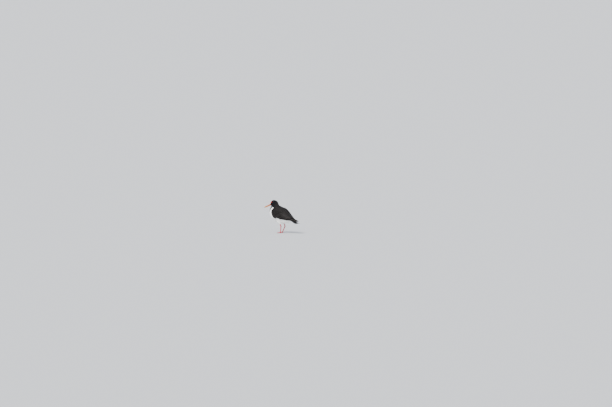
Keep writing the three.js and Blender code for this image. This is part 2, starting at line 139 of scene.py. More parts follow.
def ease(value, low, high):
    """From 0 at low to 1 at high, with a soft start and end."""
    share = np.clip((value - low) / (high - low), 0, 1)
    return share * share * (3 - 2 * share)


def unit(vectors):
    """An array of vectors, each made one long."""
    return vectors / np.maximum(np.linalg.norm(vectors, axis=-1, keepdims=True), 1e-12)


def spline(points, t):
    """A centripetal spline through points at t from 0 to 1."""
    points = np.asarray(points, float)
    if points.ndim == 1:
        points = points[:, None]
    last = len(points) - 1
    place = min(max(t, 0.0), 1.0) * last
    i = min(int(place), last - 1)
    share = place - i
    p1, p2 = points[i], points[i + 1]
    p0 = points[i - 1] if i else 2 * p1 - p2
    p3 = points[i + 2] if i + 2 <= last else 2 * p2 - p1
    d0, d1, d2 = (max(float(((b - a) ** 2).sum()) ** 0.25, 1e-6) for a, b in ((p0, p1), (p1, p2), (p2, p3)))
    t1 = ((p1 - p0) / d0 - (p2 - p0) / (d0 + d1) + (p2 - p1) / d1) * d1
    t2 = ((p2 - p1) / d1 - (p3 - p1) / (d1 + d2) + (p3 - p2) / d2) * d1
    c2 = 3 * (p2 - p1) - 2 * t1 - t2
    c3 = 2 * (p1 - p2) + t1 + t2
    return p1 + share * (t1 + share * (c2 + share * c3))


class Loft:
    """An oval surface between an upper and a lower side-view line."""

    def __init__(self, stations):
        self.upper = [s[0] for s in stations]
        self.lower = [s[1] for s in stations]
        self.half = [(i, s[2]) for i, s in enumerate(stations)]

    def point(self, t, angle):
        top, low = spline(self.upper, t), spline(self.lower, t)
        half = spline(self.half, t)[1]
        turn = math.radians(angle)
        middle = (top + low) / 2 + (top - low) / 2 * math.cos(turn)
        return np.array([half * math.sin(turn), -middle[0], middle[1]])

    def slopes(self, t, angle):
        a, b = max(t - 0.004, 0), min(t + 0.004, 1)
        along = (self.point(b, angle) - self.point(a, angle)) / (b - a)
        around = (self.point(t, angle + 1) - self.point(t, angle - 1)) / 2
        return along, around

    def normal(self, t, angle):
        along, around = self.slopes(t, angle)
        square = unit(np.cross(around, along))
        across = self.point(t, angle) - self.point(t, angle + 180)
        return square if square @ across > 0 else -square

    def find(self, forward, up):
        """t and angle of the place that the side view shows at a point."""
        low, high = 0.0, 1.0
        place = np.array([forward, up], float)
        for _ in range(36):
            t = (low + high) / 2
            bottom = spline(self.lower, t)
            line = spline(self.upper, t) - bottom
            off = place - bottom
            if line[0] * off[1] - line[1] * off[0] < 0:
                high = t
            else:
                low = t
        share = float((place - bottom) @ line / (line @ line))
        return np.array([t, math.degrees(math.acos(min(max(2 * share - 1, -1), 1)))])

    def over(self, forward, angle):
        """t and angle of the place whose top lies a distance forward."""
        low, high = 0.0, 1.0
        for _ in range(30):
            t = (low + high) / 2
            if spline(self.upper, t)[0] > forward:
                low = t
            else:
                high = t
        return np.array([t, angle])


def axis_frame(points):
    """For places in metres: share along the axis, turn round it, and the lie of the coat there."""
    forward, up, side = side_view(points)
    here = np.stack([forward, up], -1)[:, None, :]
    start, step = AXIS[:-1], np.diff(AXIS, axis=0)
    length = np.linalg.norm(step, axis=1)
    share = np.clip(((here - start) * step).sum(-1) / length**2, 0, 1)
    foot = start + share[..., None] * step
    gap = np.linalg.norm(here - foot, axis=-1)
    weight = np.exp(-((gap - gap.min(1, keepdims=True)) ** 2) / (2 * AXIS_BLEND**2))
    weight /= weight.sum(1, keepdims=True)
    ahead = (weight[..., None] * step / length[:, None]).sum(1)
    before = np.concatenate([[0], np.cumsum(length)[:-1]])
    along = ((before + share * length) * weight).sum(1) / length.sum()
    off = ((here - foot) * weight[..., None]).sum(1)
    ahead = unit(ahead)
    height = -ahead[:, 1] * off[:, 0] + ahead[:, 0] * off[:, 1]
    turn = np.arctan2(side, height) / (2 * math.pi) + 0.5
    lie = np.stack([np.zeros(len(ahead)), ahead[:, 0], -ahead[:, 1]], -1)
    return along, turn, lie


def unwrap(points):
    """Where places on the skin lie on its unwrap: the turn round the axis against the way along it."""
    along, turn, _ = axis_frame(points)
    return np.stack([0.05 + 0.86 * turn, 0.02 + 0.95 * along], -1)


def whiteness(points):
    """1 where the plumage is white and 0 where it is black."""
    forward, up, side = side_view(points)
    wave = 1.6 * np.sin(forward * 0.31 + side * 0.23) + 1.1 * np.sin(side * 0.47 + up * 0.2)
    breast = np.interp(forward, *BREAST_BORDER)
    under_breast = ease(breast + wave - up, -1.2, 1.2)
    below_wing = ease(np.interp(forward, *WING_LOWER) - up, -1, 1)
    before_wing = ease(forward - np.interp(up, *WING_FRONT), -4, -2)
    under_tail = ease(np.interp(forward, [-190, -144, -112], [80, 98, 106]) - up, -1, 1)
    flank = np.maximum(below_wing, before_wing)
    return under_breast * np.where(forward < -106, under_tail, flank)


# Meshes


VOXEL = {"skin": 0.0017, "bill": 0.0005, "ring": 0.0003, "leg": 0.00042}  # metres


def mesh_object(name, mesh, material):
    piece = bpy.data.objects.new(name, mesh)
    bpy.context.collection.objects.link(piece)
    mesh.materials.append(material)
    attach(piece, "root")
    return piece


def evaluated(piece):
    """Puts the result of a piece's modifiers in its mesh."""
    graph = bpy.context.evaluated_depsgraph_get()
    mesh = bpy.data.meshes.new_from_object(piece.evaluated_get(graph))
    piece.modifiers.clear()
    piece.data = mesh
    return piece


def mesh_of(bm, name):
    """A mesh with the shape of a bmesh, which it frees."""
    mesh = bpy.data.meshes.new(name)
    bm.to_mesh(mesh)
    bm.free()
    return mesh


def remeshed(bm, name, voxel, smooth):
    """One closed mesh round all that bm holds, with its edges softened."""
    helper = bpy.data.objects.new(name, mesh_of(bm, name))
    bpy.context.collection.objects.link(helper)
    modifier = helper.modifiers.new("Remesh", "REMESH")
    modifier.mode = "VOXEL"
    modifier.voxel_size = voxel
    evaluated(helper)
    bm = bmesh.new()
    bm.from_mesh(helper.data)
    for _ in range(smooth):
        softened(bm)
    bpy.data.objects.remove(helper)
    return bm


def softened(bm):
    """Moves each point halfway to the middle of its neighbours."""
    bmesh.ops.smooth_vert(
        bm,
        verts=bm.verts,
        factor=0.5,
        use_axis_x=True,
        use_axis_y=True,
        use_axis_z=True,
    )


def node_copy(*names):
    """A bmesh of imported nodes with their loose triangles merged."""
    bm = bmesh.new()
    for name in names:
        bm.from_mesh(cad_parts[name].data)
    bmesh.ops.remove_doubles(bm, verts=bm.verts, dist=1e-6)
    return bm


def loft_shape(bm, loft, sides, steps, height):
    """Adds a closed oval loft, raised by a height in millimetres."""
    loops = []
    for i in range(steps + 1):
        ring = bmesh.ops.create_circle(bm, segments=sides, radius=1)["verts"]
        for k, vert in enumerate(ring):
            t, angle = i / steps, 360 * k / sides
            place = loft.point(t, angle) + loft.normal(t, angle) * height
            vert.co = Vector((place[0], place[1] + SHIFT_Y, place[2])) * MM
        loops.append(ring)
    bridged(bm, loops)


def bridged(bm, loops):
    """Joins rings of points into a skin and shuts both ends."""
    for a, b in zip(loops, loops[1:]):
        both = set(a), set(b)
        edges = {e for ring in both for v in ring for e in v.link_edges if e.other_vert(v) in ring}
        bmesh.ops.bridge_loops(bm, edges=list(edges))
    for end in (loops[0], loops[-1]):
        bmesh.ops.contextual_create(bm, geom=end)
    bmesh.ops.recalc_face_normals(bm, faces=bm.faces)


def cut_off(bm, place, facing):
    """Cuts away what lies beyond a plane, given by a side-view place and direction, and shuts the cut."""
    normal = at(*facing) - at(0, 0)
    geometry = bm.verts[:] + bm.edges[:] + bm.faces[:]
    cut = bmesh.ops.bisect_plane(bm, geom=geometry, plane_co=at(*place), plane_no=normal, clear_outer=True)
    rim = [e for e in cut["geom_cut"] if isinstance(e, bmesh.types.BMEdge)]
    bmesh.ops.holes_fill(bm, edges=rim, sides=0)


def wing_bed():
    """The cloak under the wing feathers, cut along the wings' rear, lower and front edges."""
    bm = bmesh.new()
    loft_shape(bm, cloak, 48, 40, -BED_DEPTH)
    cut_off(bm, (-124, 110), (-1, 0.12))
    cut_off(bm, (-104, 117), (0.09, -1))
    cut_off(bm, (8, 125), (0.5, -1))
    cut_off(bm, (60, 170), (1, 0))
    return bm


def add_shape(bm, other):
    """Puts the shape of one bmesh in another."""
    mesh = mesh_of(other, "shape")
    bm.from_mesh(mesh)
    bpy.data.meshes.remove(mesh)


def finished(bm, name, material):
    """A smooth shaded piece with the shape of a bmesh, which it frees."""
    for face in bm.faces:
        face.smooth = True
    return mesh_object(name, mesh_of(bm, name), material)


def coordinates(mesh):
    places = np.zeros(len(mesh.vertices) * 3)
    mesh.vertices.foreach_get("co", places)
    return places.reshape(-1, 3)


def between(a, b, share):
    """A side-view place a share of the way from one to another."""
    return a[0] + (b[0] - a[0]) * share, a[1] + (b[1] - a[1]) * share


PLATE = ((0.1, 0.35), (0.55, 1.0), (0.9, 0.85), (1.0, 0.0))  # share along a plate, and of its relief there
LIMB_STEPS = 24


def lofted(bm, path, radii, sides, plates=0, relief=0.0, front=(1, 0)):
    """Adds a closed round limb along a path, with plates that stand out on the side looking front."""
    path = np.array([list(p) for p in path])
    stations = [(i / LIMB_STEPS, 0.0) for i in range(LIMB_STEPS + 1)]
    if plates:
        stations = [(0.0, 0.0)]
        for i in range(plates):
            stations += [((i + place) / plates, rise) for place, rise in PLATE]
    look = at(front[0], front[1]) - at(0, 0)
    sizes = [(i, r) for i, r in enumerate(radii)]
    loops = []
    for share, rise in stations:
        centre = Vector(spline(path, share))
        along = Vector(spline(path, min(share + 0.01, 1)) - spline(path, max(share - 0.01, 0))).normalized()
        ahead = (look - along * look.dot(along)).normalized()
        across = along.cross(ahead)
        radius = float(spline(sizes, share)[1]) * MM
        ring = bmesh.ops.create_circle(bm, segments=sides, radius=1)["verts"]
        for i, vert in enumerate(ring):
            turn = 2 * math.pi * i / sides
            reach = radius + relief * MM * rise * max(0.0, math.cos(turn) + 0.35)
            vert.co = centre + ahead * (reach * math.cos(turn)) + across * (reach * math.sin(turn))
        loops.append(ring)
    bridged(bm, loops)


# Feathers


def feather_form(shares, widths, columns, depth, narrow=1.0):
    """A closed vane as arrays: places as share along, share across and height, and its faces."""
    bm = bmesh.new()
    rows = len(shares)
    for up in (1, -1):
        half = bmesh.ops.create_grid(bm, x_segments=columns - 1, y_segments=rows - 1, size=1)["verts"]
        for vert in half:
            place = (vert.co.y + 1) / 2 * (rows - 1)
            share = float(np.interp(place, range(rows), shares))
            wide = float(np.interp(place, range(rows), widths))
            across = vert.co.x
            inner = (1 - across * across) * (1 if 0.01 < place < rows - 1.01 else 0)
            lopsided = across * (narrow if across < 0 else 1.0)
            keel = 0.35 * depth if abs(across) < 0.02 else 0
            vert.co = (share, lopsided * wide, (up * depth + keel) * inner)
        if up < 0:
            faces = {f for v in half for f in v.link_faces}
            bmesh.ops.reverse_faces(bm, faces=list(faces))
    bmesh.ops.remove_doubles(bm, verts=bm.verts, dist=1e-5)
    bmesh.ops.recalc_face_normals(bm, faces=bm.faces)
    bm.verts.ensure_lookup_table()
    bm.verts.index_update()
    places = np.array([v.co[:] for v in bm.verts])
    faces = [[v.index for v in f.verts] for f in bm.faces]
    bm.free()
    return places, faces


CONTOUR = feather_form([0, 0.35, 0.68, 0.88, 1], [0.35, 0.95, 1, 0.74, 0.24], 3, 0.04)
DOWNY = feather_form([0, 0.42, 0.78, 1], [0.4, 1, 0.82, 0.22], 3, 0.06)
COVERT = feather_form([0, 0.28, 0.58, 0.8, 0.93, 1], [0.4, 0.9, 1, 0.9, 0.6, 0.2], 5, 0.03)
FLIGHT = feather_form(
    [0, 0.12, 0.3, 0.5, 0.68, 0.82, 0.91, 0.97, 1],
    [0.25, 0.62, 0.92, 1, 1, 0.94, 0.76, 0.48, 0.16],
    7,
    0.03,
    0.86,
)


PATCH = 0.003  # side of a feather's patch on the unwrap


def tinted(mesh, tint):
    """Stores each point's tint: how white, how varied and how far a wing feather it is."""
    plume = mesh.color_attributes.new(name="plume", type="FLOAT_COLOR", domain="POINT")
    colours = np.concatenate([tint, np.ones((len(tint), 1))], 1)
    plume.data.foreach_set("color", colours.reshape(-1).astype(np.float32))


def mapped(mesh, name, places):
    """Stores a map of the mesh, with a place for each of its loops."""
    layer = mesh.uv_layers.new(name=name)
    layer.data.foreach_set("uv", places.reshape(-1).astype(np.float32))


def plant(name, form, spines, normals, width, tint, cup=0.0, roll=0.0, ragged=0.0, seed=1):
    """Joins many feathers in one mesh. Each has three spine places, three normals, a width and a tint."""
    places, faces = form
    count, points = len(width), len(places)
    chance = np.random.default_rng(seed)
    even = places[None, :, 0]
    share = even + ragged * ease(even, 0.5, 1) * chance.uniform(-1, 0.6, (count, points))
    weights = np.stack([(1 - share) * (1 - 2 * share), 4 * share * (1 - share), share * (2 * share - 1)], -1)
    rates = np.stack([4 * share - 3, 4 - 8 * share, 4 * share - 1], -1)
    middle = np.einsum("fkj,fjc->fkc", weights, spines)
    along = unit(np.einsum("fkj,fjc->fkc", rates, spines))
    square = np.einsum("fkj,fjc->fkc", weights, normals)
    square = unit(square - (square * along).sum(-1, keepdims=True) * along)
    across = np.cross(square, along)
    wide = np.asarray(width)[:, None]
    span = places[None, :, 1]
    aside = span * wide / 2
    rise = places[None, :, 2] * wide + np.reshape(roll, (-1, 1)) * span - np.reshape(cup, (-1, 1)) * span**2
    verts = middle + across * aside[..., None] + square * rise[..., None]
    mesh = bpy.data.meshes.new(name)
    mesh.vertices.add(count * points)
    mesh.vertices.foreach_set("co", verts.reshape(-1).astype(np.float32))
    loops = np.concatenate([np.array(f) for f in faces])
    totals = np.array([len(f) for f in faces])
    all_loops = (loops[None, :] + points * np.arange(count)[:, None]).reshape(-1)
    mesh.loops.add(len(all_loops))
    mesh.loops.foreach_set("vertex_index", all_loops.astype(np.int32))
    all_totals = np.tile(totals, count)
    starts = np.concatenate([[0], np.cumsum(all_totals)[:-1]])
    mesh.polygons.add(len(all_totals))
    mesh.polygons.foreach_set("loop_start", starts.astype(np.int32))
    mesh.polygons.foreach_set("use_smooth", np.ones(len(all_totals), bool))
    mesh.update(calc_edges=True)
    mesh.validate()
    local = np.stack([span.repeat(count, 0), even.repeat(count, 0)], -1)[:, loops]
    mapped(mesh, "Vane", local)
    mapped(mesh, "OFBake", unwrap(spines[:, 0])[:, None, :] + PATCH * (local * [0.5, 1] + [0.5, 0]))
    tinted(mesh, np.asarray(tint).repeat(points, 0))
    return mesh


# Materials


class Maker:
    """Adds shader nodes to one tree with short calls."""

    def __init__(self, tree):
        self.tree = tree

    def add(self, kind, **settings):
        node = self.tree.nodes.new(kind)
        for key, value in settings.items():
            setattr(node, key, value)
        return node

    def join(self, a, b):
        self.tree.links.new(a, b)

    def put(self, socket, value):
        if isinstance(value, bpy.types.NodeSocket):
            self.join(value, socket)
        else:
            socket.default_value = value

    def maths(self, operation, a, b=0.0, c=None):
        node = self.add("ShaderNodeMath", operation=operation)
        self.put(node.inputs[0], a)
        self.put(node.inputs[1], b)
        if c is not None:
            self.put(node.inputs[2], c)
        return node.outputs[0]

    def mix(self, factor, a, b, blend="MIX"):
        node = self.add("ShaderNodeMix", data_type="RGBA", blend_type=blend)
        self.put(node.inputs[0], factor)
        self.put(node.inputs[6], a)
        self.put(node.inputs[7], b)
        return node.outputs[2]

    def span(self, value, low, high, to_low=0.0, to_high=1.0, smooth=True):
        node = self.add("ShaderNodeMapRange", interpolation_type="SMOOTHSTEP" if smooth else "LINEAR")
        for i, v in enumerate((value, low, high, to_low, to_high)):
            self.put(node.inputs[i], v)
        return node.outputs[0]

    def noise(self, vector, scale, detail=3.0):
        node = self.add("ShaderNodeTexNoise")
        self.put(node.inputs["Scale"], scale)
        self.put(node.inputs["Detail"], detail)
        if vector is not None:
            self.join(vector, node.inputs["Vector"])
        return node.outputs[0]

    def place(self):
        """The place in the piece's own frame."""
        return self.add("ShaderNodeTexCoord").outputs["Object"]

    def split(self, vector):
        """The three numbers of a vector."""
        node = self.add("ShaderNodeSeparateXYZ")
        self.join(vector, node.inputs[0])
        return node.outputs

    def group(self, name, **values):
        """Places a shared node group with this material's values and gives its outputs."""
        node = self.add("ShaderNodeGroup", node_tree=bpy.data.node_groups[name])
        for label, value in values.items():
            self.put(node.inputs[label], value)
        return node.outputs

    def bump(self, height, strength, distance):
        node = self.add("ShaderNodeBump")
        node.inputs["Strength"].default_value = strength
        node.inputs["Distance"].default_value = distance
        self.join(height, node.inputs["Height"])
        return node.outputs["Normal"]


def colour(values):
    return (*values, 1.0)


def shader(name, **sockets):
    """A new material, its Maker and its Principled BSDF with plain values set."""
    material = bpy.data.materials.new(name)
    material.use_nodes = True
    make = Maker(material.node_tree)
    principled = material.node_tree.nodes["Principled BSDF"]
    for key, value in sockets.items():
        principled.inputs[key.replace("_", " ")].default_value = value
    return material, make, principled


FLOAT, COLOUR = "NodeSocketFloat", "NodeSocketColor"


def node_group(name, inputs, outputs):
    """A new shader node group with named sockets: its Maker and its two end nodes."""
    tree = bpy.data.node_groups.new(name, "ShaderNodeTree")
    for label, kind, default in inputs:
        socket = tree.interface.new_socket(label, in_out="INPUT", socket_type=kind)
        socket.default_value = default
    for label, kind in outputs:
        tree.interface.new_socket(label, in_out="OUTPUT", socket_type=kind)
    make = Maker(tree)
    return make, make.add("NodeGroupInput"), make.add("NodeGroupOutput")


def grain_group():
    """Fine mottling and streaks on a part's own coordinates, shared by horn and bare skin."""
    make, inside, outside = node_group(
        "Fine grain",
        [("Size", FLOAT, 400.0), ("Stretch", FLOAT, 1.0)],
        [("Mottle", FLOAT), ("Height", FLOAT)],
    )
    scale = make.add("ShaderNodeVectorMath", operation="MULTIPLY")
    make.join(make.place(), scale.inputs[0])
    stretch = make.add("ShaderNodeCombineXYZ")
    stretch.inputs[0].default_value = 1.0
    make.join(inside.outputs["Stretch"], stretch.inputs[1])
    stretch.inputs[2].default_value = 1.0
    make.join(stretch.outputs[0], scale.inputs[1])
    coarse = make.noise(scale.outputs[0], inside.outputs["Size"], 4.0)
    fine = make.noise(scale.outputs[0], make.maths("MULTIPLY", inside.outputs["Size"], 5.0), 3.0)
    for label, share in (("Mottle", 0.65), ("Height", 0.4)):
        parts = make.maths("MULTIPLY", coarse, share), make.maths("MULTIPLY", fine, 1 - share)
        make.join(make.maths("ADD", *parts), outside.inputs[label])


def coated(make, out, body, roughness, height, strength, depth):
    """Joins a material's colour, roughness and relief to its shader."""
    make.join(body, out.inputs["Base Color"])
    make.join(roughness, out.inputs["Roughness"])
    make.join(make.bump(height, strength, depth), out.inputs["Normal"])


def scales_group():
    """The scales of bare skin: 0 in the crease round a scale and 1 on it."""
    make, inside, outside = node_group("Skin scales", [("Scale", FLOAT, 1000.0)], [("Scales", FLOAT)])
    cells = make.add("ShaderNodeTexVoronoi", feature="DISTANCE_TO_EDGE")
    make.join(inside.outputs["Scale"], cells.inputs["Scale"])
    make.join(make.place(), cells.inputs["Vector"])
    make.join(make.span(cells.outputs["Distance"], 0.0, 0.16), outside.inputs["Scales"])


def plume_parts(make):
    """From the plume attribute: how white, how varied and how far a wing feather a place is."""
    plume = make.add("ShaderNodeAttribute", attribute_name="plume")
    parts = make.add("ShaderNodeSeparateColor")
    make.join(plume.outputs["Color"], parts.inputs[0])
    return parts.outputs


def plume_group():
    """Colour and roughness of plumage from its dark and white, shared by the feathers and the skin."""
    make, inside, outside = node_group(
        "Plume colour",
        [("Dark", COLOUR, colour([0.01] * 3)), ("White", COLOUR, colour([0.9] * 3)), ("Shade", FLOAT, 1.0)],
        [("Colour", COLOUR), ("Roughness", FLOAT), ("Mottle", FLOAT)],
    )
    white, tone, _ = plume_parts(make)
    mottle = make.noise(make.place(), 260.0, 4.0)
    base = make.mix(white, inside.outputs["Dark"], inside.outputs["White"])
    spread = make.span(white, 0, 1, 0.5, 0.1)
    vary = make.maths("MULTIPLY_ADD", make.maths("SUBTRACT", tone, 0.5), spread, 1.0)
    vary = make.maths("MULTIPLY", vary, inside.outputs["Shade"])
    vary = make.maths("MULTIPLY", vary, make.span(mottle, 0.3, 0.7, 0.92, 1.06))
    grey = make.add("ShaderNodeCombineColor")
    for i in range(3):
        make.join(vary, grey.inputs[i])
    make.join(make.mix(1.0, base, grey.outputs[0], "MULTIPLY"), outside.inputs["Colour"])
    make.join(make.span(white, 0, 1, 0.5, 0.78), outside.inputs["Roughness"])
    make.join(mottle, outside.inputs["Mottle"])


def plumage(name, looks, barbs):
    """Plumage. With barbs it follows each feather's own map, which the skin under the coat lacks."""
    material, make, out = shader(name, Specular_IOR_Level=0.07)
    _, tone, wing = plume_parts(make)
    dark = make.mix(wing, colour(looks.black), colour(looks.wing))
    shade = 1.0
    if barbs:
        across, along, _ = make.split(make.add("ShaderNodeUVMap", uv_map="Vane").outputs[0])
        across = make.maths("ABSOLUTE", across)
        slant = make.maths("MULTIPLY_ADD", across, -0.45, along)
        ribs = make.maths("SINE", make.maths("MULTIPLY_ADD", slant, 190.0, tone))
        # Worn edges with painted sheen: wing feathers paler along their edges and towards their tips.
        edge = make.span(across, 0.7, 1.0)
        tip = make.span(along, 0.86, 1.0)
        rim = make.maths("MULTIPLY", make.maths("MAXIMUM", edge, tip), wing)
        dark = make.mix(make.maths("MULTIPLY", rim, 0.55), dark, colour(looks.fringe_wear_and_sheen))
        shaft = make.maths("MULTIPLY", make.span(across, 0.035, 0.075, 1.0, 0.0), wing)
        dark = make.mix(make.maths("MULTIPLY", shaft, 0.6), dark, colour(looks.shaft))
        # Painted shade: each vane darker towards its root, where the neighbouring feathers lie over it; the
        # ribs are the barbs' own stripes.
        shade = make.maths("MULTIPLY_ADD", ribs, 0.05, make.span(along, 0.0, 0.75, 0.88, 1.0))
    base, roughness, mottle = make.group("Plume colour", Dark=dark, White=colour(looks.white), Shade=shade)
    height = make.maths("MULTIPLY_ADD", ribs, 0.5, mottle) if barbs else mottle
    coated(make, out, base, roughness, height, 0.35, 0.00025)
    return material


def bill_horn(looks):
    material, make, out = shader("bill_horn", Specular_IOR_Level=0.3)
    root = at(*BILL_ROOT).y
    along = make.span(make.split(make.place())[1], root - BILL_LENGTH * MM, root, 1.0, 0.0, smooth=False)
    body = make.mix(make.span(along, 0.02, 0.4), colour(looks.bill_root), colour(looks.bill))
    body = make.mix(make.span(along, 0.55, 1.0, 0.0, 0.8), body, colour(looks.bill_tip))
    mottle, height = make.group("Fine grain", Size=260.0, Stretch=0.16)
    body = make.mix(make.span(mottle, 0.36, 0.7, 0.0, 0.35), body, colour(looks.bill_root))
    coated(make, out, body, make.span(mottle, 0.3, 0.7, 0.34, 0.5), height, 0.25, 0.0003)
    return material


def claw_horn(looks):
    material, make, out = shader("claw_horn", Specular_IOR_Level=0.5)
    mottle, height = make.group("Fine grain", Size=500.0)
    body = make.mix(make.span(mottle, 0.35, 0.7), colour(looks.claw), colour(looks.claw_pale))
    coated(make, out, body, make.span(mottle, 0.3, 0.7, 0.35, 0.5), height, 0.2, 0.0002)
    return material


def bare_skin(name, low, high, scale, crease):
    """Scaly skin, mottled from a low to a high colour, with painted shade in the creases round its scales."""
    material, make, out = shader(name, Specular_IOR_Level=0.25)
    scales = make.group("Skin scales", Scale=scale)[0]
    mottle, height = make.group("Fine grain", Size=240.0)
    body = make.mix(make.span(mottle, 0.3, 0.7), colour(low), colour(high))
    # Painted shade: darker towards the creases round the scales.
    depth = make.maths("MULTIPLY", make.maths("SUBTRACT", 1.0, scales), 0.45)
    body = make.mix(depth, body, colour(crease))
    relief = make.maths("MULTIPLY_ADD", height, 0.25, scales)
    coated(make, out, body, make.span(mottle, 0.3, 0.7, 0.42, 0.6), relief, 0.6, 0.00035)
    return material


def eye_glass(looks):
    """A wet eye: black pupil, red iris with fine spokes and a dark rim, from the polar map of the ball."""
    wet = {"Coat_Weight": 0.35, "Coat_Roughness": 0.02}
    material, make, out = shader("eye_glass", Roughness=0.3, Specular_IOR_Level=0.1, **wet)
    turn, out_from, _ = make.split(make.add("ShaderNodeUVMap", uv_map="Polar").outputs[0])
    spokes = make.maths("SINE", make.maths("MULTIPLY", turn, 2 * math.pi * 46))
    iris = make.mix(make.span(spokes, -1, 1, 0.0, 0.45), colour(looks.iris), colour(looks.iris_deep))
    iris = make.mix(make.span(out_from, 0.235, 0.27, 0.5, 0.0), iris, colour(looks.iris_deep))
    iris = make.mix(make.span(out_from, 0.4, 0.5), iris, colour(looks.iris_deep))
    pupil = make.span(out_from, 0.225, 0.235, 1.0, 0.0)
    make.join(make.mix(pupil, iris, (0.002, 0.002, 0.002, 1.0)), out.inputs["Base Color"])
    return material


# Settings


class ModelSizes(bpy.types.PropertyGroup):
    """Sizes of the coat and of the bare parts."""

    head_feather: FloatProperty(
        name="Head feather", description="Length of a feather on the crown", default=0.0048, unit="LENGTH"
    )
    body_feather: FloatProperty(
        name="Body feather", description="Length of a feather on the belly", default=0.0155, unit="LENGTH"
    )
    coat_depth: FloatProperty(
        name="Coat depth",
        description="How far the skin lies under the coat's surface",
        default=0.0016,
        unit="LENGTH",
    )
    density: FloatProperty(
        name="Coat density", description="Feathers grown for each one that would cover", default=1.0
    )
    tail_pairs: IntProperty(name="Tail pairs", description="Pairs of tail feathers", default=6)
    eye_radius: FloatProperty(
        name="Eye radius", description="Radius of the eyeball", default=0.0052, unit="LENGTH"
    )
    scutes: IntProperty(name="Leg plates", description="Plates down the front of a leg", default=30)


class ModelColours(bpy.types.PropertyGroup):
    """Colours of the coat, horn and bare skin."""

    black: FloatVectorProperty(
        name="Black", description="Head, neck and breast", subtype="COLOR", default=(0.0034, 0.0038, 0.0052)
    )
    wing: FloatVectorProperty(
        name="Wing",
        description="Brownish black of wings and back",
        subtype="COLOR",
        default=(0.0108, 0.0096, 0.0096),
    )
    # Worn edges of wing feathers, with painted sheen that stands for the light on the folded wing.
    fringe_wear_and_sheen: FloatVectorProperty(
        name="Fringe",
        description="Worn edges of wing feathers",
        subtype="COLOR",
        default=(0.046, 0.039, 0.034),
    )
    shaft: FloatVectorProperty(
        name="Shaft", description="Shafts of wing feathers", subtype="COLOR", default=(0.006, 0.005, 0.0045)
    )
    white: FloatVectorProperty(
        name="White", description="Belly and flanks", subtype="COLOR", default=(0.93, 0.925, 0.90)
    )
    bill_root: FloatVectorProperty(
        name="Bill root", description="Orange red at the root", subtype="COLOR", default=(0.36, 0.042, 0.0005)
    )
    bill: FloatVectorProperty(
        name="Bill", description="Orange of the bill", subtype="COLOR", default=(0.42, 0.115, 0.0005)
    )
    bill_tip: FloatVectorProperty(
        name="Bill tip", description="Yellower tip", subtype="COLOR", default=(0.46, 0.24, 0.003)
    )
    iris: FloatVectorProperty(
        name="Iris", description="Red iris", subtype="COLOR", default=(0.46, 0.002, 0.002)
    )
    iris_deep: FloatVectorProperty(
        name="Iris rim", description="Dark red in the iris", subtype="COLOR", default=(0.12, 0.001, 0.001)
    )
    ring: FloatVectorProperty(
        name="Eye ring", description="Bare ring round the eye", subtype="COLOR", default=(0.50, 0.010, 0.002)
    )
    leg: FloatVectorProperty(
        name="Leg", description="Salmon pink skin", subtype="COLOR", default=(0.48, 0.034, 0.046)
    )
    leg_deep: FloatVectorProperty(
        name="Leg shade", description="Darker pink skin", subtype="COLOR", default=(0.33, 0.018, 0.026)
    )
    claw: FloatVectorProperty(
        name="Claw", description="Dark horn", subtype="COLOR", default=(0.02, 0.016, 0.014)
    )
    claw_pale: FloatVectorProperty(
        name="Claw light", description="Worn horn", subtype="COLOR", default=(0.07, 0.055, 0.045)
    )


def settings():
    scene = bpy.context.scene
    return scene.oystercatcher_sizes, scene.oystercatcher_colours


# Coat


made = {}  # materials by name, the skin's object and its search tree


def search_tree(bm):
    """A tree that finds places on a bmesh, which it frees."""
    tree = BVHTree.FromBMesh(bm)
    bm.free()
    return tree


def snapped(places, height):
    """Moves places on to the skin at a height, with the skin's normals there."""
    out, square = np.empty_like(places), np.empty_like(places)
    for i, place in enumerate(places):
        hit, normal, _, _ = made["tree"].find_nearest(Vector(place))
        out[i] = np.array(hit) + np.array(normal) * height[i]
        square[i] = normal
    return out, square


# In metres.
EYE_CLEAR = 0.0062  # how near the eye's centre a feather grows
EYE_SUNK = 0.0008  # how far eye and ring sink into the feathers round them
RING_MIDDLE = 0.0043  # radius outside which the ring narrows
BILL_CLEAR = 0.0007  # how near the bill a feather grows
ROOT_SUNK = 0.0004  # how far a feather's root lies under the skin


def under_wing(place, normal, wings):
    """Whether a folded wing covers a place on the skin, away from the wing's upper front edge."""
    start = Vector(place) - Vector(normal) * 0.001
    for tree in wings:
        hit = tree.ray_cast(start, Vector(normal), 0.03)
        if hit[0] is not None:
            forward, up, _ = side_view(np.array(place))
            return not (up > 150 and forward > np.interp(up, *WING_FRONT) - 4)
    return False


def feather_length(points, sizes):
    """Length of the coat's feathers at places on the skin."""
    forward, up, side = side_view(points)
    along, _, _ = axis_frame(points)
    head, body = sizes.head_feather, sizes.body_feather
    by_axis = np.interp(
        along,
        [0, 0.12, 0.25, 0.42, 0.56, 0.68, 0.76, 0.84],
        [1, 1.15, 1.1, 1, 0.86, 0.66, 0.48, 0.36],
    )
    length = body * by_axis
    length = np.where(along > 0.84, head * np.interp(along, [0.84, 0.93, 1], [1.2, 1.0, 0.62]), length)
    leg = ease(up, 88, 74) * (np.abs(side) > 9) * (forward > -34) * (forward < 26)
    return length * (1 - 0.55 * leg)


SPACING = 0.25  # distance between feathers as a share of their length
NEAREST = 0.82  # least distance between two, as a share of that
TRIES = 3.2  # places tried for each feather wanted
CELL = 0.004  # side of the boxes in which neighbours are looked for, in metres
NEIGHBOURS = [(x, y, z) for x in (-1, 0, 1) for y in (-1, 0, 1) for z in (-1, 0, 1)]


